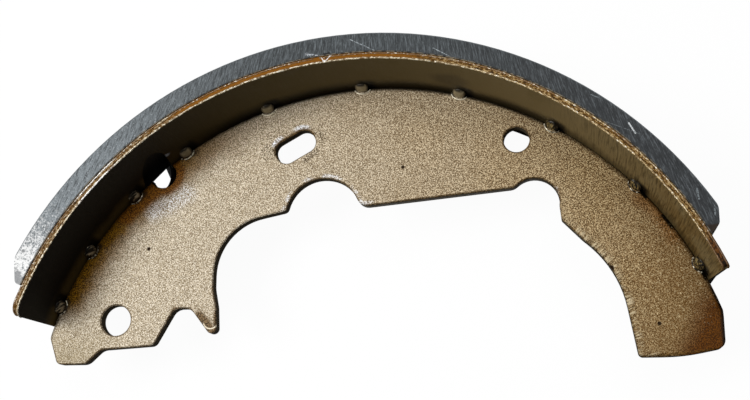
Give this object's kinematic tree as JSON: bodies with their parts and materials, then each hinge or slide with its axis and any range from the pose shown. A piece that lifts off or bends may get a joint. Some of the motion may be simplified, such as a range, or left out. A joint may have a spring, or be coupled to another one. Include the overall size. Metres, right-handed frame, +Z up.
{
  "type": "brake shoe",
  "caption": "Drum brake shoe: a flat steel web welded inside a curved rim, with a bonded friction lining, feet, cut-outs and holes for lever and springs.",
  "frame": {"origin": "middle of the shoe's box, on the surface that the back edge of rim and lining lies on", "axes": "+Z up along the drum's axis towards the side with the wider rim, +X from the anchor foot to the actuator foot, +Y towards the crown of the lining"},
  "size_m": [0.2262, 0.103, 0.057],
  "materials": {
    "web_paint": "bronze-coloured coating with a fine speckle, brown stain near the rim",
    "rim_paint": "smooth dark brown coating",
    "weld_steel": "burnt weld nuggets",
    "adhesive": "cured brown adhesive",
    "friction_block": "ground grey friction material"
  },
  "bodies": {
    "root": {"web_plate": "web_paint", "rim_table": "rim_paint", "weld_nuggets": "weld_steel", "bond_film": "adhesive", "friction_lining": "friction_block"}
  },
  "joints": []
}
